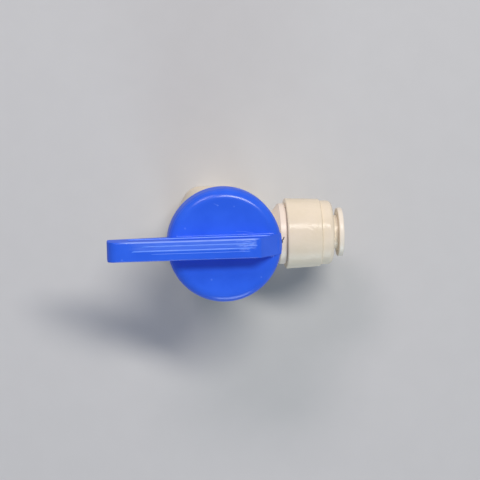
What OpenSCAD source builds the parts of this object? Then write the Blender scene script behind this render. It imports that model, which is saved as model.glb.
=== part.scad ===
// Angle ball valve for the pressure tank of a reverse osmosis water filter.
// Origin: centre of the tank thread's mouth, on the bottom face. Millimetres.
// +Z runs up the stem to the handle, and +X runs out of the push-fit tube outlet.
// The valve is drawn open, with its lever over -X in line with the tube. Turning the
// lever a quarter turn clockwise, seen from above, shuts it.

/* [Tank socket] */
// Distance across the flats of the hexagonal base
hex_af = 20; // [19:0.5:24]
// Height of the hexagonal base
hex_h = 12.5; // [10:0.5:15]
// Radius of the hexagon's upright corners
hex_corner_r = 3.9; // [1:0.1:5]
// Height of the chamfer turned on the hexagon's corners, above and below
hex_chamfer = 0.5; // [0.2:0.1:1]
// Root radius of the female tank thread
thread_r = 6.86; // [6.2:0.02:7.4]
// Depth of the tank thread
thread_depth = 9.8; // [8:0.2:12]

/* [Barrel] */
// Outer radius of the round barrel above the hexagon
barrel_r = 9.2; // [8.6:0.1:10]
// Thickness of the barrel's roof, which the stem passes through
roof_t = 4.25; // [3.8:0.05:6]
// Radius of the barrel's top edge
barrel_edge_r = 0.6; // [0.2:0.1:1]
// Radius of the fillet between the hexagon's top face and the barrel
barrel_fillet_r = 0.6; // [0.2:0.1:0.7]
// Radius of the gland collar that stands on the roof round the stem
gland_r = 5.6; // [4.6:0.1:6]
// Height of the gland collar above the roof
gland_h = 2.6; // [1.6:0.1:3.2]

/* [Ball and seats] */
// Radius of the ball
ball_r = 5; // [4.6:0.1:5.6]
// Radius of the waterway through the ball, the seats and the outlet
port_r = 2.2; // [1.6:0.1:2.4]
// Space between the ball and the wall of its chamber
chamber_gap = 0.3; // [0.2:0.05:0.6]
// Thickness of the seat under the ball
inlet_seat_t = 1.7; // [1.3:0.1:2.4]
// Thickness of the seat between the ball and the outlet
outlet_seat_t = 2.8; // [2:0.1:3.4]
// Outer radius of the outlet seat
outlet_seat_r = 3.75; // [3.6:0.05:3.9]
// Thickness of the ring that holds the inlet seat up
retainer_t = 1.8; // [1.4:0.1:2.4]
// Width of the two spanner notches in that ring
notch_w = 1.6; // [1:0.1:2.2]

/* [Stem] */
// Radius of the round shaft of the stem
stem_r = 3; // [2.6:0.05:3.2]
// Radius of the flange that keeps the stem from being blown out
flange_r = 4.2; // [3.9:0.1:4.6]
// Thickness of that flange
flange_t = 1.2; // [0.8:0.1:1.6]
// Thickness of the thrust washer above the flange
washer_t = 0.6; // [0.4:0.1:1]
// Thickness of the tang that turns the ball
tang_t = 2.4; // [1.8:0.1:3]
// Depth of the tang in the ball's slot
tang_h = 1.5; // [1:0.1:1.8]
// Side of the square drive under the handle
drive_af = 4.2; // [3.4:0.1:4.4]
// Height of the square drive
drive_h = 4.3; // [3.4:0.1:4.6]
// Thickness of the rubber of each stem O-ring
stem_ring_d = 1.15; // [0.9:0.05:1.3]

/* [Handle cap] */
// Radius of the round cap
cap_r = 13; // [12.2:0.1:15]
// Height of the cap from the rim of its skirt to its top face
cap_h = 7.4; // [6.8:0.1:9]
// Radius of the rounded edge round the top of the cap
rim_r = 2.25; // [0.8:0.05:2.4]
// Thickness of the skirt
skirt_t = 1.5; // [1.1:0.1:2]
// Thickness of the cap's top
cap_t = 2; // [1.4:0.1:2.6]
// Gap between the barrel's roof and the skirt
skirt_gap = 0.6; // [0.3:0.1:1.2]
// Wall of the hub round the square drive
hub_wall = 1.5; // [1:0.1:1.8]
// Thickness of the stiffening ribs under the cap
rib_t = 1.2; // [0.8:0.1:1.8]
// Depth of the stiffening ribs below the cap's ceiling
rib_h = 1.5; // [0.8:0.1:2]

/* [Lever] */
// Distance from the stem's axis to the tip of the lever
lever_l = 26.8; // [20:0.2:36]
// Width of the lever at its top face
lever_w = 4.5; // [3.6:0.1:6]
// Height of the lever's top face above the cap
lever_rise = 5; // [3.6:0.1:7]
// Thickness of the lever where it leaves the cap
lever_root_t = 6.4; // [5:0.1:7.5]
// Thickness of the lever at its tip
lever_tip_t = 4.7; // [3.4:0.1:6]
// How much wider the lever is at its foot than at its top face
lever_draft = 0.3; // [0:0.05:0.6]
// Radius of the rounded top of the tip
tip_r = 2.2; // [0.8:0.1:3]
// Radius of the tip's two upright corners
tip_corner_r = 0.5; // [0.2:0.1:0.9]
// Radius of the lever's long top edges
lever_edge_r = 0.35; // [0.1:0.05:0.8]
// Distance from the stem's axis to where the flat top ends over the outlet
crest_x = 7.4; // [5:0.2:9]
// Radius between the flat top and the slope down to the rim
crest_r = 1.8; // [0.5:0.1:3]
// How far the lever's end stands out past the skirt, over the outlet
lever_proud = 0.12; // [0.05:0.01:0.3]
// Radius of the fillets where the lever stands on the cap
foot_fillet_r = 0.3; // [0.1:0.05:0.5]
// Wall of the hollow moulded lever
lever_wall = 1.3; // [1:0.05:1.6]

/* [Quarter-turn stops] */
// Turn of the handle between open and shut
turn_deg = 90; // [60:5:90]
// Width of the stop lug on the barrel's roof
lug_w = 3; // [2:0.1:4]
// Height of the stop lug
lug_h = 2.3; // [1.4:0.1:2.8]
// Angle of the lug from the outlet's direction
lug_deg = 45; // [35:5:60]
// Thickness of the handle's two stop ribs
stop_t = 1.6; // [1:0.1:2.4]
// Space between a rib and the lug at the end of the turn
stop_gap = 0.15; // [0.1:0.05:0.4]

/* [Branch] */
// Outer radius of the branch where it leaves the barrel
branch_r = 5.2; // [5:0.1:5.8]
// Outer radius of the flange that the outlet housing is joined to
neck_r = 7.16; // [6.4:0.02:7.6]
// Distance from the stem's axis to the face of that flange
branch_l = 15.55; // [14.8:0.05:20]
// Length of the straight part of the flange
neck_l = 1.5; // [0.8:0.1:2]
// Length of the cone behind the flange
neck_cone_l = 1.55; // [1:0.05:2]
// Radius of the flange's edges
neck_edge_r = 0.2; // [0.1:0.05:0.3]
// Radius of the fillet between the branch and the barrel
branch_fillet_r = 1.1; // [0.5:0.1:1.4]
// Radius of the wide part of the branch's socket
socket_r = 4.6; // [4.4:0.05:5]
// Depth of the wide part of the branch's socket
socket_depth = 2.65; // [2:0.05:3]

/* [Outlet housing] */
// Outer radius of the housing at the end next to the branch
housing_r = 8.35; // [7.8:0.05:9.4]
// How much smaller its radius is at the other end, as moulding draft
housing_draft = 0.33; // [0:0.01:0.6]
// Length of the housing outside the branch
housing_l = 8.25; // [7.8:0.05:12]
// Radius of the housing's outer edges
housing_edge_r = 0.35; // [0.1:0.05:0.8]
// Depth of the tube stop behind the housing's face on the branch
stop_depth = 1.65; // [1.2:0.05:2]
// Thickness of the rubber of the spigot's O-ring
spigot_ring_d = 0.85; // [0.6:0.05:1]

/* [Push-fit] */
// Outer diameter of the tube that the outlet takes
tube_od = 6.35; // [5.6:0.05:6.5]
// Space round the tube in its bore
tube_gap = 0.075; // [0.05:0.005:0.15]
// Depth of the tube's socket in the housing, from the housing's face on the branch
tube_socket_l = 2.85; // [2.4:0.05:3.4]
// Radius of the pocket for the tube's O-ring
pocket_r = 5.2; // [4.9:0.05:5.6]
// Thickness of the washer between the O-ring and the collet
spacer_t = 0.8; // [0.5:0.1:1]
// Outer radius of the cap that holds the collet
collar_r = 7.58; // [7:0.02:7.7]
// Length of the collet cap outside the housing
collar_l = 2.88; // [2.4:0.02:4]
// Radius of the collet cap's outer edge
collar_edge_r = 1.2; // [0.4:0.1:1.4]
// Depth of the collet cap's spigot in the housing
collar_spigot_l = 2.55; // [2.2:0.05:2.8]
// Radius of that spigot
collar_spigot_r = 6.35; // [6:0.05:6.6]
// Outer radius of the collet's round neck
collet_r = 4; // [3.8:0.05:4.2]
// Outer radius of the collet's flange
collet_flange_r = 5.76; // [5.2:0.02:6.6]
// Thickness of the collet's flange
collet_flange_t = 1.24; // [0.8:0.02:1.8]
// Gap between the flange and the cap, which is what lets the collet be pushed in
collet_gap = 1.24; // [1.1:0.02:1.6]
// Travel of the collet when it is pushed in to free the tube
release_travel = 1; // [0.6:0.05:1]
// Number of cuts across the collet, each of which parts two pairs of fingers
collet_cuts = 3; // [2:1:4]
// Width of the cuts between the collet's fingers
cut_w = 0.6; // [0.4:0.05:0.7]
// Thickness of the steel teeth in the fingers
tooth_t = 0.3; // [0.2:0.05:0.4]

/* [Hidden] */
$fn = 96;

cream = [0.91, 0.87, 0.79];
white = [0.93, 0.91, 0.88];
seal_white = [0.96, 0.96, 0.94];
rubber = [0.12, 0.12, 0.13];
steel = [0.72, 0.73, 0.75];
blue = [0.16, 0.35, 0.93];

// Overrun of a cut past the face that it opens
eps = 0.05;
// Space between two pieces that are pressed or welded together
seat_fit = 0.02;
// Radial space of a part that turns or slides in a bore
run_fit = 0.05;
// Space between flat faces that turn on each other
play = 0.05;
// Clearance between the ball and its seats
ball_fit = 0.05;
// Clearance between an O-ring and the faces that squeeze the real one
ring_ease = 0.02;
// Space between the two seats, one below the ball and one beside it
seat_space = 0.15;

// Heights, stacked from the bottom face upwards
seat_bore_r = port_r + 0.2;
recess_r = ball_r + ball_fit;
outlet_seat_rim = 0.2;
inlet_seat_face = outlet_seat_r + seat_space;
outlet_seat_face = sqrt(pow(recess_r, 2) - pow(outlet_seat_r - outlet_seat_rim, 2));
retainer_z = thread_depth;
inlet_seat_z = retainer_z + retainer_t;
ball_z = inlet_seat_z + inlet_seat_t + inlet_seat_face;
chamber_r = ball_r + chamber_gap;
chamber_top = ball_z + ball_r + chamber_gap;
ceiling_z = chamber_top + flange_t + play + washer_t;
roof_z = ceiling_z + roof_t;
gland_top = roof_z + gland_h;
skirt_z = roof_z + skirt_gap;
cap_top = skirt_z + cap_h;
cap_ceiling = cap_top - cap_t;
lever_top = cap_top + lever_rise;
hub_gap = 0.3;
hub_z = gland_top + hub_gap;
drive_top = hub_z + drive_h;

// Distances along the outlet, from the stem's axis outwards
seat_back_x = outlet_seat_face + outlet_seat_t;
bore_r = outlet_seat_r + run_fit;
socket_x = branch_l - socket_depth;
tube_stop_x = branch_l - stop_depth;
tube_r = tube_od / 2 + tube_gap;
pocket_x = branch_l + tube_socket_l;
housing_end = branch_l + housing_l;
collar_x0 = housing_end - collar_spigot_l;
collar_end = housing_end + collar_l;
spacer_x = collar_x0 - seat_fit - spacer_t;
collet_flange_x = collar_end + collet_gap;
outlet_end = collet_flange_x + collet_flange_t;
collet_head_x = collar_x0 + release_travel + 0.1;
chamber_mouth_r = pocket_r - 0.25;
collet_head_r = chamber_mouth_r - 0.2;

// Angle between the middle of the lug and the middle of a rib that rests on it
lug_in_r = gland_r + 1.3;
lug_out_r = sqrt(pow(barrel_r - barrel_edge_r - 0.1, 2) - pow(lug_w / 2, 2));
stop_deg = asin((lug_w / 2 + stop_gap) / norm([lug_in_r, stop_t / 2])) + atan(stop_t / 2 / lug_in_r);

// Turns a shape that stands on Z so that it lies along the outlet's axis
module along_outlet() {
    translate([0, 0, ball_z])
        rotate([0, 90, 0])
            children();
}

// Tube of outer radius r1 and bore r0 from height z0 to z1
module ring(r0, r1, z0, z1) {
    translate([0, 0, z0])
        difference() {
            cylinder(r = r1, h = z1 - z0);
            translate([0, 0, -eps]) cylinder(r = r0, h = z1 - z0 + 2 * eps);
        }
}

// Section of a disc of radius r from z0 to z1, with edges rounded by e0 below and e1 above
module rounded_disc_section(r, z0, z1, e0, e1) {
    translate([0, z0]) square([r - e0, z1 - z0 - e1]);
    translate([0, z0 + e0]) square([r, z1 - z0 - e0 - e1]);
    translate([0, z0 + e0]) square([r - e1, z1 - z0 - e0]);
    translate([r - e0, z0 + e0]) circle(r = e0);
    translate([r - e1, z1 - e1]) circle(r = e1);
}

// Section of a disc of radius r from z0 to z1, with its upper edge rounded
module domed_disc_section(r, z0, z1, edge) {
    translate([0, z0]) square([r - edge, z1 - z0]);
    translate([0, z0]) square([r, z1 - z0 - edge]);
    translate([r - edge, z1 - edge]) circle(r = edge);
}

// Round O-ring of section d that reaches out to radius r, centred at height z
module o_ring(r, d, z) {
    translate([0, 0, z])
        rotate_extrude()
            translate([r - d / 2, 0]) circle(d = d, $fn = 48);
}

// Distance from the stem's axis to the centres of the hexagon's round corners
corner_d = (hex_af / 2 - hex_corner_r) / cos(30);

// Outline of the base: a hexagon with round corners and two flats along X
module base_outline() {
    polygon([
        for (k = [0:5], side = [-30, 30])
            corner_d * [cos(60 * k), sin(60 * k)] + hex_corner_r * [cos(60 * k + side), sin(60 * k + side)]
    ]);
    for (k = [0:5])
        rotate(60 * k) translate([corner_d, 0]) circle(r = hex_corner_r);
}

// Hexagon whose round corners are turned down a little at both ends
module hex_base() {
    reach = corner_d + hex_corner_r;
    flat_end = norm([hex_af / 2, corner_d / 2]);
    turned_r = (reach + flat_end) / 2;
    outer_r = 2 * reach - turned_r;
    intersection() {
        linear_extrude(hex_h) base_outline();
        rotate_extrude()
            polygon([
                [0, 0], [turned_r, 0], [outer_r, 2 * hex_chamfer],
                [outer_r, hex_h - 2 * hex_chamfer], [turned_r, hex_h], [0, hex_h]
            ]);
    }
}

// Barrel, roof and gland collar, turned about the stem's axis, with a fillet at the barrel's foot
module barrel() {
    fillet = min(barrel_fillet_r, max(hex_af / 2 - barrel_r - 0.1, 0.1));
    rotate_extrude() {
        domed_disc_section(barrel_r, hex_h - 1, roof_z, barrel_edge_r);
        translate([0, roof_z - 1]) square([gland_r, gland_top - roof_z + 1]);
        difference() {
            translate([0, hex_h - 1]) square([barrel_r + fillet, fillet + 1]);
            translate([barrel_r + fillet, hex_h + fillet]) circle(r = fillet);
        }
    }
}

// Side branch with a filleted root and the flange that the housing is joined to
module branch() {
    cone_end = branch_l - neck_l;
    cone_start = cone_end - neck_cone_l;
    root_x = barrel_r - 0.2;
    fillet = branch_fillet_r;
    edge = neck_edge_r;
    along_outlet()
        rotate_extrude() {
            polygon([
                [0, 0], [branch_r, 0], [branch_r, cone_start], [neck_r - edge, cone_end - edge],
                [neck_r - edge, branch_l], [0, branch_l]
            ]);
            polygon([
                [0, cone_end], [neck_r - edge * 0.6, cone_end - edge * 0.6], [neck_r, cone_end],
                [neck_r, branch_l - edge], [neck_r - edge, branch_l], [0, branch_l]
            ]);
            translate([neck_r - edge, branch_l - edge]) circle(r = edge);
            difference() {
                square([branch_r + fillet, root_x + fillet]);
                translate([branch_r + fillet, root_x + fillet]) circle(r = fillet);
            }
        }
}

// Upright lug on the roof that the handle's stop ribs meet
module stop_lug() {
    rotate([0, 0, lug_deg])
        translate([lug_in_r, -lug_w / 2, roof_z - 1])
            cube([lug_out_r - lug_in_r, lug_w, lug_h + 1]);
}

module valve_body() {
    color(cream)
        difference() {
            union() {
                hex_base();
                barrel();
                branch();
                stop_lug();
            }
            translate([0, 0, -eps]) cylinder(r = thread_r, h = thread_depth + eps);
            cylinder(r = chamber_r, h = chamber_top);
            cylinder(r = flange_r + run_fit, h = ceiling_z);
            cylinder(r = stem_r + run_fit, h = gland_top + eps);
            along_outlet() cylinder(r = bore_r, h = branch_l);
            along_outlet() translate([0, 0, socket_x]) cylinder(r = socket_r, h = socket_depth + eps);
        }
}

// Pressed ring under the inlet seat, with two notches for the tool that fits it
module inlet_retainer() {
    color(white)
        difference() {
            ring(seat_bore_r, chamber_r - seat_fit, retainer_z, retainer_z + retainer_t);
            translate([-chamber_r, -notch_w / 2, retainer_z - eps])
                cube([2 * chamber_r, notch_w, retainer_t / 2 + eps]);
        }
}

module inlet_seat() {
    color(seal_white)
        difference() {
            ring(seat_bore_r, chamber_r - seat_fit, inlet_seat_z, inlet_seat_z + inlet_seat_t);
            translate([0, 0, ball_z]) sphere(r = recess_r);
        }
}

module outlet_seat() {
    color(seal_white)
        difference() {
            along_outlet() ring(seat_bore_r, outlet_seat_r, outlet_seat_face, seat_back_x);
            translate([0, 0, ball_z]) sphere(r = recess_r);
        }
}

// Ball with an angled waterway, open below and towards the outlet, and a slot for the tang
module ball() {
    color(white)
        difference() {
            translate([0, 0, ball_z]) sphere(r = ball_r);
            translate([0, 0, ball_z - ball_r - eps]) cylinder(r = port_r, h = ball_r + eps);
            translate([0, 0, ball_z]) sphere(r = port_r);
            along_outlet() cylinder(r = port_r, h = ball_r + eps);
            translate([-ball_r, -tang_t / 2 - play, ball_z + ball_r - tang_h - play])
                cube([2 * ball_r, tang_t + 2 * play, tang_h + 1]);
        }
}

// Heights of the middles of the stem's two O-rings
ring_pitch = (gland_top - ceiling_z) / 2;
ring_z = [ceiling_z + ring_pitch / 2, ceiling_z + ring_pitch * 3 / 2];

// Stem: tang, flange, shaft with two grooves, and a square drive with a snap notch
module stem() {
    ring_floor = stem_r + run_fit - stem_ring_d - 2 * ring_ease;
    groove_w = stem_ring_d + 0.3;
    tang_r = ball_r - 1.6;
    color(white) {
        intersection() {
            cylinder(r = tang_r, h = lever_top);
            translate([-tang_r, -tang_t / 2, ball_z + ball_r - tang_h])
                cube([2 * tang_r, tang_t, tang_h + chamber_gap + eps]);
        }
        translate([0, 0, chamber_top]) cylinder(r = flange_r, h = flange_t);
        difference() {
            translate([0, 0, chamber_top]) cylinder(r = stem_r, h = hub_z - chamber_top);
            for (z = ring_z)
                ring(ring_floor, stem_r + 1, z - groove_w / 2, z + groove_w / 2);
        }
        difference() {
            square_drive(drive_af, hub_z - eps, drive_top);
            for (side = [-1, 1])
                snap_bar(side, snap_r + play);
        }
    }
}

// Square post with turned corners, used for the drive and, a little larger, for its socket
module square_drive(af, z0, z1) {
    translate([0, 0, z0])
        intersection() {
            translate([-af / 2, -af / 2, 0]) cube([af, af, z1 - z0]);
            cylinder(r = af * 0.66, h = z1 - z0);
        }
}

// Round bar across one face of the drive: the handle's snap bead and the notch that it drops into
snap_r = 0.3;
module snap_bar(side, r) {
    translate([0, side * (drive_af / 2 + play), hub_z + drive_h * 0.55])
        rotate([0, 90, 0])
            cylinder(r = r, h = drive_af * 0.5, center = true);
}

module stem_washer() {
    color(seal_white)
        ring(stem_r + run_fit, flange_r - 0.1, chamber_top + flange_t + play, ceiling_z);
}

module stem_o_ring_lower() {
    color(rubber) o_ring(stem_r + run_fit - ring_ease, stem_ring_d, ring_z[0]);
}

module stem_o_ring_upper() {
    color(rubber) o_ring(stem_r + run_fit - ring_ease, stem_ring_d, ring_z[1]);
}

// Side view of the lever, in X and Z, from its tip to where it meets the rim over the outlet
module lever_side() {
    tip_x = -lever_l;
    top = lever_top;
    end_x = cap_r + 2 * lever_proud;
    end_z = cap_top - rim_r + 0.4;
    end_foot = end_z - 1.6;
    root_under = top - lever_root_t;
    wall_mid = cap_r - skirt_t / 2;
    slope = atan((top - end_z) / (end_x - crest_x));
    tangent = crest_r * tan(slope / 2);
    difference() {
        polygon([
            [tip_x, top - lever_tip_t], [-wall_mid, root_under], [wall_mid, root_under],
            [wall_mid, end_foot], [end_x, end_z - 0.5], [end_x, end_z], [crest_x, top], [tip_x, top]
        ]);
        difference() {
            translate([tip_x - eps, top - tip_r]) square([tip_r + eps, tip_r + eps]);
            translate([tip_x + tip_r, top - tip_r]) circle(r = tip_r);
        }
        difference() {
            polygon([
                [crest_x - tangent, top + eps], [crest_x, top + eps],
                [crest_x + tangent * cos(slope), top - tangent * sin(slope)],
                [crest_x - tangent, top]
            ]);
            translate([crest_x - tangent, top - crest_r]) circle(r = crest_r);
        }
    }
}

// Half the lever's width at its foot
lever_foot = lever_w / 2 + lever_draft / 2;

// Section across the lever, in Y and Z, with draft on its sides and rounded top edges
module lever_section(foot_z) {
    half = lever_w / 2;
    edge = lever_edge_r;
    polygon([
        [-lever_foot, foot_z], [lever_foot, foot_z], [half, lever_top - edge],
        [half - edge, lever_top], [-half + edge, lever_top], [-half, lever_top - edge]
    ]);
    for (side = [-1, 1])
        translate([side * (half - edge), lever_top - edge]) circle(r = edge);
}

// Room round the two upright corners of the tip, cut away to round them
module tip_corners() {
    r = tip_corner_r;
    foot_z = lever_top - lever_tip_t - 1;
    for (side = [0, 1])
        mirror([0, side, 0])
            difference() {
                translate([-lever_l - 1, lever_foot - r, foot_z]) cube([1 + r, r + 1, lever_tip_t + 2]);
                translate([-lever_l + r, lever_foot - r, foot_z - 1]) cylinder(r = r, h = lever_tip_t + 4);
            }
}

// Lever: its side view and its section combined, with its end following the cap's rim
module lever() {
    difference() {
        intersection() {
            rotate([90, 0, 0])
                linear_extrude(3 * lever_w, center = true)
                    lever_side();
            rotate([90, 0, 90])
                linear_extrude(4 * lever_l, center = true)
                    lever_section(lever_top - lever_root_t - 2);
            union() {
                cylinder(r = cap_r + lever_proud, h = lever_top + 1);
                translate([-2 * lever_l, -lever_w, 0]) cube([2 * lever_l, 2 * lever_w, lever_top + 1]);
            }
        }
        tip_corners();
    }
}

// Fillets between the lever's sides and the top of the cap
module lever_feet() {
    r = foot_fillet_r;
    reach = cap_r - rim_r + 0.4;
    for (side = [0, 1])
        mirror([0, side, 0])
            translate([-reach, 0, 0])
                rotate([90, 0, 90])
                    linear_extrude(2 * reach)
                        difference() {
                            translate([lever_w / 2 - 0.5, cap_top - 0.5])
                                square([lever_draft / 2 + 0.5 + r, r + 0.5]);
                            translate([lever_foot + r, cap_top + r]) circle(r = r);
                        }
}

// Hollow inside the lever, open underneath, on both sides of the hub
module lever_hollow() {
    half = lever_w / 2 - lever_wall;
    hub_r = drive_af / 2 + hub_wall;
    roof = lever_top - lever_wall - 0.4;
    tip = -lever_l + lever_wall + 0.6;
    skirt_in = cap_r - skirt_t;
    translate([tip, -half, 0]) cube([-tip - cap_r - 0.6, 2 * half, roof]);
    translate([-skirt_in + 0.6, -half, 0]) cube([skirt_in - hub_r - 1.2, 2 * half, roof]);
    translate([hub_r + 0.6, -half, 0]) cube([crest_x - hub_r - 0.6, 2 * half, roof - 0.6]);
}

// Round cap, hollow underneath
module cap_shell() {
    difference() {
        rotate_extrude() rounded_disc_section(cap_r, skirt_z, cap_top, 0.3, rim_r);
        translate([0, 0, skirt_z - eps]) cylinder(r = cap_r - skirt_t, h = cap_ceiling - skirt_z + eps);
    }
}

// Stop ribs that meet the lug when the valve is open and when it is shut
module stop_ribs() {
    foot_z = roof_z + max(lug_h - 1.3, 0.6);
    for (a = [lug_deg - stop_deg, lug_deg + stop_deg + turn_deg])
        rotate([0, 0, a])
            translate([lug_in_r - 0.6, -stop_t / 2, foot_z])
                cube([cap_r - skirt_t / 2 - lug_in_r + 0.6, stop_t, cap_ceiling + 0.5 - foot_z]);
}

// Shallow ribs from the hub to the skirt
module stiffening_ribs() {
    hub_r = drive_af / 2 + hub_wall;
    for (a = [90, 270, 215, 325])
        rotate([0, 0, a])
            translate([hub_r - 0.4, -rib_t / 2, cap_ceiling - rib_h])
                cube([cap_r - skirt_t / 2 - hub_r + 0.4, rib_t, rib_h + 0.5]);
}

// Moulded handle: cap, lever, hub with its snap beads, stops and ribs in one piece
module handle() {
    color(blue) {
        difference() {
            union() {
                cap_shell();
                lever();
                lever_feet();
                translate([0, 0, hub_z]) cylinder(r = drive_af / 2 + hub_wall, h = cap_top - hub_z);
                stop_ribs();
                stiffening_ribs();
            }
            lever_hollow();
            square_drive(drive_af + 2 * play, hub_z - eps, drive_top + 0.1);
        }
        for (side = [-1, 1])
            intersection() {
                snap_bar(side, snap_r);
                translate([0, 0, hub_z]) cylinder(r = drive_af / 2 + hub_wall, h = drive_h);
            }
    }
}

// Outlet housing: stepped spigot in the branch, tube socket, O-ring pocket and collet chamber
module outlet_housing() {
    spigot_r = outlet_seat_r;
    spigot_floor = bore_r - spigot_ring_d - 2 * ring_ease;
    groove_w = spigot_ring_d + 0.3;
    color(cream)
        along_outlet()
            difference() {
                union() {
                    translate([0, 0, seat_back_x]) cylinder(r = spigot_r, h = branch_l - seat_back_x);
                    translate([0, 0, socket_x + seat_fit])
                        cylinder(r = socket_r - seat_fit, h = socket_depth);
                    rotate_extrude() housing_section();
                }
                translate([0, 0, seat_back_x - eps]) cylinder(r = port_r, h = housing_end);
                translate([0, 0, tube_stop_x]) cylinder(r = tube_r, h = housing_l + stop_depth);
                translate([0, 0, pocket_x]) cylinder(r = pocket_r, h = housing_l);
                translate([0, 0, collar_x0 - seat_fit])
                    cylinder(r = collar_spigot_r + seat_fit, h = housing_l);
                ring(spigot_floor, spigot_r + 1, spigot_ring_x - groove_w / 2, spigot_ring_x + groove_w / 2);
            }
}

// Outer section of the housing: a drafted drum with rounded edges
module housing_section() {
    edge = housing_edge_r;
    end_r = housing_r - housing_draft;
    polygon([
        [0, branch_l], [housing_r - edge, branch_l], [housing_r, branch_l + edge],
        [end_r, housing_end - edge], [end_r - edge, housing_end], [0, housing_end]
    ]);
    translate([housing_r - edge, branch_l + edge]) circle(r = edge);
    translate([end_r - edge, housing_end - edge]) circle(r = edge);
}

// Middle of the O-ring on the spigot, half way between the seat and the step
spigot_ring_x = (seat_back_x + socket_x) / 2;

module spigot_o_ring() {
    color(rubber)
        along_outlet() o_ring(bore_r - ring_ease, spigot_ring_d, spigot_ring_x);
}

// O-ring that seals on the tube, drawn just clear of the bore so that a tube goes in
module tube_o_ring() {
    ring_d = pocket_r - tube_r - 2 * ring_ease;
    color(rubber)
        along_outlet() o_ring(pocket_r - ring_ease, ring_d, pocket_x + ring_d / 2 + ring_ease);
}

module o_ring_spacer() {
    color(white)
        along_outlet() ring(tube_r + 0.15, pocket_r - 0.05, spacer_x, spacer_x + spacer_t);
}

// Cap that closes the housing round the collet: rounded nose, spigot, and a cone inside
module collet_cap() {
    opening_r = collet_r + run_fit + 0.03;
    cone_start = collet_head_x + 0.5;
    cone_end = housing_end + collar_l * 0.35;
    color(cream)
        along_outlet()
            difference() {
                union() {
                    rotate_extrude()
                        domed_disc_section(collar_r, housing_end + seat_fit, collar_end, collar_edge_r);
                    translate([0, 0, collar_x0])
                        cylinder(r = collar_spigot_r, h = collar_spigot_l + 0.5);
                }
                rotate_extrude()
                    polygon([
                        [0, collar_x0 - eps], [chamber_mouth_r, collar_x0 - eps],
                        [chamber_mouth_r, cone_start], [opening_r, cone_end],
                        [opening_r, collar_end + eps], [0, collar_end + eps]
                    ]);
            }
}

// Cuts through the collet's inner end that part its fingers
module finger_cuts(w, x1) {
    for (k = [0:collet_cuts - 1])
        rotate([0, 0, 180 / collet_cuts * (k + 0.5)])
            translate([-collet_flange_r, -w / 2, collet_head_x - 1])
                cube([2 * collet_flange_r, w, x1 - collet_head_x + 1]);
}

// Steel ring section: a thin disc dished towards the tube stop
tooth_x = collet_head_x + 0.55;
tooth_reach = collet_head_r - 0.45;
module tooth_section() {
    lean = 0.35;
    polygon([
        [tube_r, tooth_x - lean], [tooth_reach, tooth_x],
        [tooth_reach, tooth_x + tooth_t], [tube_r, tooth_x - lean + tooth_t]
    ]);
}

// Collet: fingers with conical heads, round neck and the flange that a thumb presses
module collet() {
    head_l = 0.5;
    taper_l = 1.6;
    edge = 0.3;
    color(white)
        along_outlet()
            difference() {
                rotate_extrude() {
                    rounded_disc_section(collet_flange_r, collet_flange_x, outlet_end, edge, edge);
                    polygon([
                        [0, collet_head_x], [collet_head_r - 0.2, collet_head_x],
                        [collet_head_r, collet_head_x + 0.2], [collet_head_r, collet_head_x + head_l],
                        [collet_r, collet_head_x + taper_l], [collet_r, collet_flange_x + eps],
                        [0, collet_flange_x + eps]
                    ]);
                }
                translate([0, 0, collet_head_x - eps])
                    cylinder(r = tube_r, h = outlet_end - collet_head_x + 2 * eps);
                rotate_extrude() tooth_section();
                finger_cuts(cut_w, collar_end - 1);
            }
}

// Stainless teeth, one dished segment in each finger
module collet_teeth() {
    color(steel)
        along_outlet()
            difference() {
                rotate_extrude() tooth_section();
                finger_cuts(cut_w + 0.2, collar_end - 1);
            }
}

valve_body();
inlet_retainer();
inlet_seat();
outlet_seat();
ball();
stem();
stem_washer();
stem_o_ring_lower();
stem_o_ring_upper();
handle();
outlet_housing();
spigot_o_ring();
tube_o_ring();
o_ring_spacer();
collet_cap();
collet();
collet_teeth();
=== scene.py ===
import math

import bmesh
import bpy
from mathutils import Matrix, Vector
from mathutils.noise import noise as noise_at


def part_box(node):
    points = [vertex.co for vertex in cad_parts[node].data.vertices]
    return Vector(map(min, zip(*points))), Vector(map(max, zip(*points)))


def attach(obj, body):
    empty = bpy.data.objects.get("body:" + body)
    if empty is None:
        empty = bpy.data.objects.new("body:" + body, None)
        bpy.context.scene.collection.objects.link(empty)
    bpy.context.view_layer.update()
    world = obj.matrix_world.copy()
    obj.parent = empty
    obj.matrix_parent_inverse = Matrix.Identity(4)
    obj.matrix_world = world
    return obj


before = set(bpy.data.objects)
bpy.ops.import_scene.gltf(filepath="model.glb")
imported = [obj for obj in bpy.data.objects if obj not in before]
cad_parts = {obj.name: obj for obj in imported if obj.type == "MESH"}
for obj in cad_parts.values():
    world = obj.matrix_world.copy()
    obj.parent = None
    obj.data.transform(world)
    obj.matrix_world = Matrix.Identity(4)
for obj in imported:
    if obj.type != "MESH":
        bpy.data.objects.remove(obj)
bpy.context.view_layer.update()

# The view: the valve stands on its tank socket, and the camera looks down on the handle
# from half a metre up, a little towards the lever and its far side. Lens and place are
# those of the photograph.
MM = 0.001
camera_data = bpy.data.cameras.new("camera")
camera_data.sensor_width = 36
camera_data.lens = 147.34
camera_data.clip_start = 0.01
camera_data.clip_end = 10
camera = bpy.data.objects.new("camera", camera_data)
camera.location = Vector((-30.96, 59.77, 476.86)) * MM
camera.rotation_euler = [math.radians(angle) for angle in (-7.438, -4.624, -1.235)]
bpy.context.scene.collection.objects.link(camera)
bpy.context.scene.camera = camera
bpy.context.scene.view_settings.view_transform = "Standard"

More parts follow.
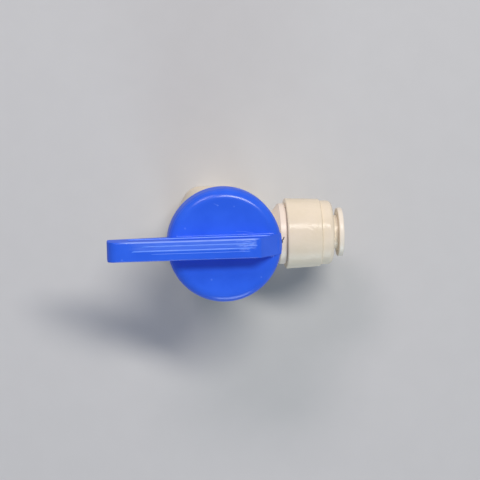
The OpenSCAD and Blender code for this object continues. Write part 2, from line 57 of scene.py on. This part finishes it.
# The light: a softbox above the far side of the valve, so that the lever throws its shadow
# on the near half of the cap. A weaker one, lower and further to the left, carries the
# shine on the cap's rim round to that side. One at the front lifts the undersides.
LIGHT_DISTANCE = 1.2
SOFTBOXES = [
    # name, azimuth and tilt from upright in degrees, width and length in metres, watts, colour
    ("softbox", 65, 32, 0.64, 0.19, 9.6, (1.0, 0.955, 0.89)),
    ("side_softbox", 112, 50, 0.42, 0.26, 3.5, (1.0, 0.88, 0.92)),
    ("low_softbox", 280, 80, 0.7, 0.7, 6.6, (0.78, 0.92, 1.0)),
]
for name, azimuth, tilt, width, length, power, colour in SOFTBOXES:
    lamp = bpy.data.lights.new(name, "AREA")
    lamp.shape = "ELLIPSE"
    lamp.size = width
    lamp.size_y = length
    lamp.energy = power
    lamp.color = colour
    azimuth, tilt = math.radians(azimuth), math.radians(tilt)
    direction = Vector((
        math.sin(tilt) * math.cos(azimuth), math.sin(tilt) * math.sin(azimuth), math.cos(tilt)
    ))
    softbox = bpy.data.objects.new(name, lamp)
    softbox.location = direction * LIGHT_DISTANCE
    softbox.rotation_euler = direction.to_track_quat("Z", "Y").to_euler()
    bpy.context.scene.collection.objects.link(softbox)


# The room: cool, even light that fills the shadows. What looks straight at the room, or
# sees it in a gloss or through a clear piece, sees the pale backdrop instead.
class Wire:
    """An output socket among a material's nodes. Arithmetic on wires adds Math nodes."""

    def __init__(self, tree, socket=None):
        self.tree = tree
        self.socket = socket

    def node(self, kind, settings=None, sockets=None, out=0):
        """Add a node: its settings first, then the values or links of its sockets."""
        made = self.tree.nodes.new(kind)
        for name, value in (settings or {}).items():
            setattr(made, name, value)
        for name, value in (sockets or {}).items():
            if isinstance(value, Wire):
                self.tree.links.new(value.socket, made.inputs[name])
            else:
                made.inputs[name].default_value = value
        return Wire(self.tree, made.outputs[out])

    def math(self, operation, *others):
        values = dict(enumerate((self, *others)))
        return self.node("ShaderNodeMath", {"operation": operation}, values)

    def vector(self, operation, *others, out="Vector"):
        values = dict(enumerate((self, *others)))
        return self.node("ShaderNodeVectorMath", {"operation": operation}, values, out)

    def __add__(self, other):
        return self.math("ADD", other)

    def __sub__(self, other):
        return self.math("SUBTRACT", other)

    def __rsub__(self, other):
        return self.node("ShaderNodeMath", {"operation": "SUBTRACT"}, {0: other, 1: self})

    def __mul__(self, other):
        return self.math("MULTIPLY", other)

    __radd__ = __add__
    __rmul__ = __mul__

    def join(self, owner, socket):
        self.tree.links.new(self.socket, owner.inputs[socket])


world = bpy.data.worlds.new("room")
world.use_nodes = True
room = world.node_tree.nodes["Background"]
room.inputs["Color"].default_value = (0.58, 0.72, 1.0, 1)
room.inputs["Strength"].default_value = 0.26
wire = Wire(world.node_tree)
backdrop = wire.node("ShaderNodeBackground", {}, {"Color": (1, 1, 0.99, 1), "Strength": 0.54})
camera_ray, glossy_ray, transmission_ray = [
    wire.node("ShaderNodeLightPath", out=ray)
    for ray in ("Is Camera Ray", "Is Glossy Ray", "Is Transmission Ray")
]
seen = camera_ray.math("MAXIMUM", glossy_ray).math("MAXIMUM", transmission_ray)
mixed = wire.node(
    "ShaderNodeMixShader", {}, {0: seen, 1: Wire(world.node_tree, room.outputs[0]), 2: backdrop}
)
mixed.join(world.node_tree.nodes["World Output"], "Surface")
bpy.context.scene.world = world


# Valve body: cream acetal, moulded in one piece with its hexagonal tank socket, barrel,
# branch and flange. It parts along the plane of stem and outlet, and a dark fibre from
# the ground clings to the flange beside the handle.
def srgb(red, green, blue):
    """A colour written as 0 to 255 on the screen, as the shader wants it."""
    def linear(value):
        value = value / 255
        return value / 12.92 if value <= 0.04045 else ((value + 0.055) / 1.055) ** 2.4
    return (linear(red), linear(green), linear(blue), 1)


def above(value, edge, soft):
    """1 where the value is over edge, falling to 0 where it is less by soft."""
    return value.node(
        "ShaderNodeMapRange", {"interpolation_type": "SMOOTHSTEP"},
        {"Value": value, "From Min": edge - soft, "From Max": edge},
    )


def near(distance, reach, soft):
    """1 where the distance is within reach, falling to 0 further out by soft."""
    return 1 - above(distance, reach + soft, soft)


def off_by(value, middle):
    """How far the value is from the middle, on either side."""
    return (value - middle).math("ABSOLUTE")


def blend(share, low, high):
    """The colour low where the share is 0, and high where it is 1."""
    return share.node("ShaderNodeMix", {"data_type": "RGBA"}, {0: share, 6: low, 7: high}, out=2)


def axis(at, letter):
    """One of the three coordinates of a place or a direction."""
    return at.node("ShaderNodeSeparateXYZ", {}, {0: at}, out=letter)


def length_of(offset):
    """Length of an offset."""
    return offset.vector("LENGTH", out="Value")


def noise(at, lumps, detail=2.0):
    """Noise with that many lumps to a millimetre."""
    return at.node(
        "ShaderNodeTexNoise", {"noise_dimensions": "3D"},
        {"Vector": at, "Scale": lumps, "Detail": detail, "Roughness": 0.5},
    )


def spot(at, middle):
    """Distance in millimetres from a point."""
    return at.vector("DISTANCE", middle, out="Value")


def stroke(at, start, end):
    """Distance in millimetres from the line between two points."""
    start, end = Vector(start), Vector(end)
    line = (end - start).normalized()
    offset = at.vector("SUBTRACT", start)
    along = offset.vector("DOT_PRODUCT", line, out="Value")
    along = along.node("ShaderNodeClamp", {}, {"Value": along, "Max": (end - start).length})
    foot = at.node("ShaderNodeVectorMath", {"operation": "SCALE"}, {0: line, "Scale": along})
    return offset.vector("DISTANCE", foot, out="Value")


class Finish:
    """A surface in two close shades that lie in soft clouds, with an uneven polish. Places
    and lengths on it are in millimetres."""

    CLOUD_LUMPS = 0.16
    POLISH_LUMPS = 0.35
    POLISH_SPREAD = 0.12
    PEEL_LUMPS = 2.3

    def __init__(self, name, deep, pale, polish, peel=0.004, shine=0.4, edge=0.15):
        """Peel is the height in mm of the skin's fine waves, and edge the radius in mm
        that the light sees on sharp edges, or 0 to leave them sharp."""
        self.material = bpy.data.materials.new(name)
        self.material.use_nodes = True
        self.shader = self.material.node_tree.nodes["Principled BSDF"]
        self.shader.inputs["Specular IOR Level"].default_value = shine
        self.edge = edge
        wire = Wire(self.material.node_tree)
        place = wire.node("ShaderNodeTexCoord", out="Object")
        self.at = place.node(
            "ShaderNodeVectorMath", {"operation": "SCALE"}, {0: place, "Scale": 1 / MM}
        )
        clouds = noise(self.at, self.CLOUD_LUMPS, 3.0)
        self.colour = blend(above(clouds, 0.66, 0.32), deep, pale)
        uneven = noise(self.at, self.POLISH_LUMPS, 3.0) * self.POLISH_SPREAD
        self.rough = uneven + (polish - self.POLISH_SPREAD / 2)
        self.height = noise(self.at, self.PEEL_LUMPS, 1.0) * peel

    def mark(self, mask, colour, rise=0.0):
        """Lay a colour over the surface where the mask is 1, and raise it that many mm."""
        self.colour = blend(mask, self.colour, colour)
        if rise:
            self.height = self.height + mask * rise

    def put_on(self, *nodes):
        """Join the shader up and put the finish on CAD nodes or on new pieces."""
        relief = {"Strength": 1.0, "Distance": MM, "Height": self.height}
        if self.edge:
            radius = {"Radius": self.edge * MM}
            relief["Normal"] = self.at.node("ShaderNodeBevel", {"samples": 6}, radius)
        bump = self.at.node("ShaderNodeBump", {}, relief)
        self.colour.join(self.shader, "Base Color")
        self.rough.join(self.shader, "Roughness")
        bump.join(self.shader, "Normal")
        for node in nodes:
            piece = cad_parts[node] if isinstance(node, str) else node
            piece.data.materials.clear()
            piece.data.materials.append(self.material)


CREAM_DEEP = srgb(229, 215, 189)
CREAM_PALE = srgb(234, 220, 196)
BARREL_R = 9.2
HEXAGON_TOP = 12.5
FLANGE_X = 12.3
body_cream = Finish("body_cream_acetal", CREAM_DEEP, CREAM_PALE, 0.36)
at = body_cream.at
from_stem = length_of(at.vector("MULTIPLY", (1, 1, 0)))
on_parting = near(axis(at, "Y").math("ABSOLUTE"), 0.03, 0.05)
on_parting = on_parting * above(from_stem, BARREL_R - 0.1, 0.1)
body_cream.mark(on_parting, srgb(222, 207, 182), 0.02)
# Painted light: past the flange's start the body is drawn paler and cooler, as reflected light.
body_cream.mark(above(axis(at, "X"), FLANGE_X, 0.3), srgb(236, 222, 206))
# Painted shade: the inside corner where the barrel meets the hexagon's top is drawn darker, in
# patches.
corner_shade = near(from_stem, BARREL_R + 0.3, 0.5)
corner_shade = corner_shade * near(off_by(axis(at, "Z"), HEXAGON_TOP + 0.1), 0.1, 0.5)
body_cream.mark(corner_shade * noise(at, 0.6) * 0.6, srgb(186, 172, 148))
FIBRE_R = 0.055
FIBRE = [
    (14.70, 0.04, 24.36), (14.56, -0.16, 24.36), (14.50, -0.42, 24.35), (14.32, -0.52, 24.34),
    (14.22, -0.72, 24.33), (14.30, -0.94, 24.30), (14.26, -1.20, 24.26),
]
for start, end in zip(FIBRE, FIBRE[1:]):
    body_cream.mark(near(stroke(at, start, end), FIBRE_R, 2 * FIBRE_R), srgb(38, 40, 70))
# A small dark spot high on the neck.
DARK_SPOT = (15.60, 6.50, 20.1)
body_cream.mark(near(spot(at, DARK_SPOT), 0.12, 0.2), srgb(70, 66, 60))
body_cream.put_on("valve_body")

# Tank thread: the 18-to-the-inch ridge moulded in the socket. It fades in at the mouth
# and out again before the ring that holds the inlet seat.
THREAD_WALL_R = 6.9 * MM
THREAD_CREST_R = 5.8 * MM
THREAD_CREST_DROP = 0.05 * MM
THREAD_CREST_HALF = 0.11 * MM
THREAD_FOOT_HALF = 0.64 * MM
THREAD_START = 0.9 * MM
THREAD_PITCH = 25.4 / 18 * MM
THREAD_TURNS = 5.75
THREAD_FADE_TURNS = 0.4
THREAD_LEAST_RISE = 0.04
THREAD_STEPS = 48
bm = bmesh.new()
profile = [
    bm.verts.new((radius, 0, THREAD_START + offset))
    for radius, offset in (
        (THREAD_WALL_R, -THREAD_FOOT_HALF),
        (THREAD_CREST_R + THREAD_CREST_DROP, -THREAD_CREST_HALF),
        (THREAD_CREST_R, 0),
        (THREAD_CREST_R + THREAD_CREST_DROP, THREAD_CREST_HALF),
        (THREAD_WALL_R, THREAD_FOOT_HALF),
    )
]
edges = [bm.edges.new((profile[k - 1], profile[k])) for k in range(len(profile))]
bmesh.ops.spin(
    bm, geom=profile + edges, cent=(0, 0, 0), axis=(0, 0, 1),
    dvec=(0, 0, THREAD_PITCH / THREAD_STEPS), angle=2 * math.pi * THREAD_TURNS,
    steps=round(THREAD_TURNS * THREAD_STEPS), use_merge=False,
)
bmesh.ops.holes_fill(bm, edges=[edge for edge in bm.edges if edge.is_boundary], sides=0)
for vert in bm.verts:
    radius = math.hypot(vert.co.x, vert.co.y)
    share = math.atan2(vert.co.y, vert.co.x) / (2 * math.pi)
    turns = round((vert.co.z - THREAD_START) / THREAD_PITCH - share) + share
    faded = max(0, min(turns, THREAD_TURNS - turns)) / THREAD_FADE_TURNS
    rise = min(1, THREAD_LEAST_RISE + (1 - THREAD_LEAST_RISE) * faded)
    wanted = THREAD_WALL_R - (THREAD_WALL_R - radius) * rise
    vert.co.x *= wanted / radius
    vert.co.y *= wanted / radius
bmesh.ops.recalc_face_normals(bm, faces=bm.faces)
mesh = bpy.data.meshes.new("tank_thread")
bm.to_mesh(mesh)
bm.free()
mesh.shade_smooth()
mesh.set_sharp_from_angle(angle=math.radians(35))
tank_thread = bpy.data.objects.new("tank_thread", mesh)
bpy.context.scene.collection.objects.link(tank_thread)
thread_cream = Finish("thread_cream_acetal", CREAM_DEEP, CREAM_PALE, 0.4)
thread_cream.put_on(tank_thread)
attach(tank_thread, "body")

# Inlet retainer and O-ring spacer: plain white moulded rings, pressed or dropped in
# before the valve is closed.
white_ring = Finish("ring_white_acetal", srgb(228, 224, 214), srgb(236, 232, 224), 0.4)
white_ring.put_on("inlet_retainer", "o_ring_spacer")

# Seats and thrust washer: waxy white seat plastic, turned from bar, with the cutter's
# fine rings still on the faces and a dull band where the ball has rubbed.
BALL_R = 5.0
BALL_CENTRE = (0, 0, 17.2)
seat_wax = Finish("seat_wax", srgb(232, 231, 226), srgb(242, 241, 237), 0.46, 0.003)
at = seat_wax.at
rings = at.node(
    "ShaderNodeTexWave",
    {"wave_type": "RINGS", "rings_direction": "SPHERICAL", "wave_profile": "SIN"},
    {"Vector": at.vector("SUBTRACT", BALL_CENTRE), "Scale": 1.6, "Distortion": 0.3},
)
seat_wax.height = seat_wax.height + rings * 0.006
rubbed = near(spot(at, BALL_CENTRE), BALL_R + 0.1, 0.12)
seat_wax.mark(rubbed, srgb(214, 211, 202))
seat_wax.put_on("inlet_seat", "outlet_seat", "stem_washer")

# Ball and stem: white acetal. The ball is polished in two bands where the seats bear on
# it, round the outlet's axis and round the stem's.
SEAT_BAND_R = 3.5
trim_white = Finish("trim_white_acetal", srgb(228, 225, 216), srgb(238, 235, 228), 0.38)
at = trim_white.at
from_centre = at.vector("SUBTRACT", BALL_CENTRE)
on_ball = near(length_of(from_centre), BALL_R + 0.02, 0.05)
for across_bearing in ((0, 1, 1), (1, 1, 0)):
    off_bearing = length_of(from_centre.vector("MULTIPLY", across_bearing))
    band = near(off_by(off_bearing, SEAT_BAND_R), 0.25, 0.2) * on_ball
    trim_white.rough = trim_white.rough - band * 0.2
    trim_white.mark(band * 0.6, srgb(216, 212, 200))
trim_white.put_on("ball", "stem")

# O-rings: black nitrile rubber, moulded in two halves and wiped with silicone grease, so
# they shine in patches.
seal_rubber = Finish("seal_rubber", srgb(30, 30, 32), srgb(44, 44, 47), 0.52, 0.002)
grease = above(noise(seal_rubber.at, 0.9, 3.0), 0.6, 0.12)
seal_rubber.rough = seal_rubber.rough - grease * 0.26
dust = above(noise(seal_rubber.at, 7.0, 1.0), 0.74, 0.06)
seal_rubber.mark(dust * 0.5, srgb(96, 96, 96))
seal_rubber.put_on("stem_o_ring_lower", "stem_o_ring_upper", "spigot_o_ring", "tube_o_ring")

# Handle: one moulding in royal blue acetal, with a round cap, a hub that snaps on the stem
# and a lever right across the cap. Hands have dulled the lever's far half, which also
# carries streaks of painted sheen, and a painted highlight runs along its far edge. Keys
# have scuffed the lever. The upright walls have less polish.
LEVER_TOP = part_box("handle")[1].z / MM
LEVER_RISE = 5
CAP_TOP = LEVER_TOP - LEVER_RISE
LEVER_HALF = 2.3
SLOPE_X = 6.4
handle_blue = Finish(
    "handle_blue_acetal", srgb(37, 95, 229), srgb(43, 101, 235), 0.22, 0.0015, 0.34, 0.3
)
at = handle_blue.at
along, across, height = axis(at, "X"), axis(at, "Y"), axis(at, "Z")
on_lever = above(height, LEVER_TOP - 0.1, 0.2) * near(along, SLOPE_X, 0.6)
# Painted sheen: the lever's far half is painted paler in streaks; its added roughness is real
# dulling.
worn_half_and_sheen = above(along, -19.0, 4.0) * on_lever * above(across, 0.5, 0.25)
worn_half_and_sheen = worn_half_and_sheen * near(across, 2.0, 0.25)
streaks = noise(at.vector("MULTIPLY", (0.12, 1, 1)), 3.2, 3.0)
handle_blue.mark(worn_half_and_sheen * streaks * 0.95, srgb(84, 128, 240))
handle_blue.rough = handle_blue.rough + worn_half_and_sheen * 0.14
upright = axis(at.node("ShaderNodeNewGeometry", out="Normal"), "Z").math("ABSOLUTE")
handle_blue.rough = handle_blue.rough + near(upright, 0.35, 0.3) * 0.3
crown = across.node(
    "ShaderNodeMapRange", {}, {"Value": across, "From Min": 0.35, "From Max": LEVER_HALF}
)
crown = crown * on_lever * above(along, -20.0, 3.0)
handle_blue.height = handle_blue.height - crown * 0.13
SCUFF = (4.6, 1.1, 0)
from_scuff = at.vector("SUBTRACT", SCUFF).vector("MULTIPLY", (0.55, 0.8, 0))
rubs = above(noise(at.vector("MULTIPLY", (0.3, 1.6, 1)), 2.6, 3.0), 0.6, 0.14)
scuffed = near(length_of(from_scuff), 0.7, 1.0) * on_lever * rubs
handle_blue.mark(scuffed * 0.8, srgb(118, 154, 248), 0.006)
NIBS = [
    # place and radius of each pale nib
    (-9.01, 4.37, CAP_TOP, 0.12), (-1.53, 9.38, CAP_TOP, 0.08), (2.21, 9.04, CAP_TOP, 0.06),
    (-3.28, -7.53, CAP_TOP, 0.12), (8.08, -7.31, CAP_TOP, 0.08),
    (-23.54, -1.73, LEVER_TOP, 0.12),
]
for x, y, z, radius in NIBS:
    nib = near(spot(at, (x, y, z)), radius, 0.2)
    handle_blue.mark(nib * 0.45, srgb(96, 142, 246), 0.012)
SCRATCHES = [
    # height, start and end of each hair-fine scratch
    (CAP_TOP, (2.6, 3.35), (4.6, 3.25)),
    (CAP_TOP, (4.6, 3.25), (6.4, 2.85)),
    (CAP_TOP, (-2.3, 9.8), (-1.3, 9.35)),
    (LEVER_TOP, (3.2, 2.3), (5.4, 1.75)),
    (LEVER_TOP, (2.2, 0.75), (4.4, 0.95)),
    (LEVER_TOP, (-12.4, 2.0), (-10.8, 2.12)),
]
for level, start, end in SCRATCHES:
    scratch = near(stroke(at, (*start, level), (*end, level)), 0.03, 0.1)
    handle_blue.mark(scratch * 0.3, srgb(104, 148, 248))
FAR_EDGE_Y = 2.12
# Painted highlight: a pale, patchy line along the lever's far top edge.
edge_highlight = near(off_by(across, FAR_EDGE_Y), 0.08, 0.1) * above(height, LEVER_TOP - 0.2, 0.1)
edge_highlight = edge_highlight * above(along, -22.0, 3.0) * near(along, SLOPE_X - 0.4, 2.0)
patchy = noise(at.vector("MULTIPLY", (0.25, 1, 1)), 1.6, 2.0) * 0.5 + 0.45
handle_blue.mark(edge_highlight * patchy, srgb(150, 180, 250))
handle_blue.put_on("handle")

# Lever lines: fine raised lines that the mould's cutter has left along the top of the
# lever, and the mould's parting line along its far wall. They belong to the same moulding,
# and their far flanks, which lean 18 degrees from level, catch the softbox. Their blue,
# paler than the handle's, is a painted highlight.
LINES = [
    # start and end along the lever, place across it, drop from its top, rise, turn about X,
    # and how many rises the near foot is from the middle
    (-21.3, 5.6, 0.06, 0, 0.06, 0, 2.4),
    (-19.0, 5.8, 1.1, 0, 0.042, 0, 2.4),
    (3.0, 6.9, 0.64, 0, 0.03, 0, 2.4),
    (-17.0, 5.2, -0.62, 0, 0.018, 0, 2.4),
    (-22.5, 10.2, 2.34, 3.5, 0.13, -90, 0.9),
]
# The rest of a line's section, in rises too: far foot, half the crest, depth of the feet
FAR_FOOT = 4.7
CREST_HALF = 0.5
SUNK = 0.4
LINE_STEPS = 48
bm = bmesh.new()
for start, end, place, drop, rise, turn, near_foot in LINES:
    done = len(bm.verts)
    profile = [
        bm.verts.new((start * MM, y * rise * MM, z * rise * MM))
        for y, z in (
            (-near_foot, -SUNK), (-CREST_HALF, 1), (CREST_HALF, 1), (FAR_FOOT, -SUNK)
        )
    ]
    edges = [bm.edges.new((profile[k - 1], profile[k])) for k in range(len(profile))]
    bmesh.ops.spin(
        bm, geom=profile + edges, cent=(0, 0, 0), axis=(1, 0, 0), angle=0,
        dvec=((end - start) / LINE_STEPS * MM, 0, 0), steps=LINE_STEPS, use_merge=False,
    )
    bm.verts.ensure_lookup_table()
    line = bm.verts[done:]
    for vert in line:
        x = vert.co.x / MM
        from_middle = 2 * (x - start) / (end - start) - 1
        fade = math.sqrt(max(0, 1 - from_middle ** 16))
        wear = 0.88 + 0.16 * noise_at(Vector((x * 0.5, place * 9, 0)))
        vert.co.z *= fade * wear
    turned = Matrix.Rotation(math.radians(turn), 3, "X")
    bmesh.ops.rotate(bm, verts=line, cent=(0, 0, 0), matrix=turned)
    bmesh.ops.translate(bm, verts=line, vec=(0, place * MM, (LEVER_TOP - drop) * MM))
bmesh.ops.holes_fill(bm, edges=[edge for edge in bm.edges if edge.is_boundary], sides=0)
bmesh.ops.recalc_face_normals(bm, faces=bm.faces)
mesh = bpy.data.meshes.new("lever_lines")
bm.to_mesh(mesh)
bm.free()
lever_lines = bpy.data.objects.new("lever_lines", mesh)
bpy.context.scene.collection.objects.link(lever_lines)
# Painted highlight: the lines are drawn a paler blue than the handle.
line_highlight_blue = Finish(
    "line_blue_acetal", srgb(80, 134, 246), srgb(88, 140, 249), 0.28, 0.0, 0.3, 0
)
line_highlight_blue.put_on(lever_lines)
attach(lever_lines, "handle")

# Outlet housing: a cream drum, spun-welded to the branch flange, that holds the tube's
# O-ring and the collet. Its skin is wavy, and slightly pebbled towards the cap.
PEBBLES_FROM = 20.5
PEBBLES_TO = 22.6
housing_cream = Finish("housing_cream_acetal", CREAM_DEEP, CREAM_PALE, 0.2, 0.008, 0.13)
at = housing_cream.at
along = axis(at, "X")
waves = noise(at.vector("MULTIPLY", (0.6, 1, 1)), 1.3, 3.0)
pebbles = above(along, PEBBLES_FROM, 2.5) * near(along, PEBBLES_TO, 0.4) * noise(at, 1.3, 2.0)
housing_cream.height = housing_cream.height + waves * 0.03 + pebbles * 0.07
housing_cream.put_on("outlet_housing")

# Collet cap: the cream nose that closes the housing round the collet. Its skin is wavy
# like the housing's.
cap_cream = Finish(
    "cap_cream_acetal", srgb(230, 216, 191), srgb(236, 222, 199), 0.2, 0.008, 0.13
)
cap_cream.height = cap_cream.height + noise(cap_cream.at, 1.3, 3.0) * 0.045
cap_cream.put_on("collet_cap")

# Collet: six sprung fingers and a thumb flange in white acetal. Pushed in, it lets the
# tube go.
collet_white = Finish(
    "collet_white_acetal", srgb(231, 220, 200), srgb(238, 228, 211), 0.34, 0.004
)
collet_white.put_on("collet")

# Collet teeth: bright stainless strip, stamped and dished, one segment in each finger.
# Their tips hold the tube when it is pulled.
tooth_steel = Finish("tooth_steel", srgb(196, 198, 202), srgb(214, 215, 218), 0.24, 0.001)
tooth_steel.shader.inputs["Metallic"].default_value = 1
tooth_steel.put_on("collet_teeth")

# Floor: plain pale paper that the valve stands on, a hair below the base so that the two
# faces don't lie in one plane.
FLOOR_REACH = 4
FLOOR_DROP = 0.02 * MM
bm = bmesh.new()
bmesh.ops.create_grid(bm, x_segments=1, y_segments=1, size=FLOOR_REACH)
bmesh.ops.translate(bm, verts=bm.verts, vec=(0, 0, -FLOOR_DROP))
mesh = bpy.data.meshes.new("floor")
bm.to_mesh(mesh)
bm.free()
floor = bpy.data.objects.new("floor", mesh)
bpy.context.scene.collection.objects.link(floor)
paper = Finish("floor_paper", srgb(200, 200, 199), srgb(201, 201, 200), 0.9, 0.0, 0.2, 0)
paper.put_on(floor)
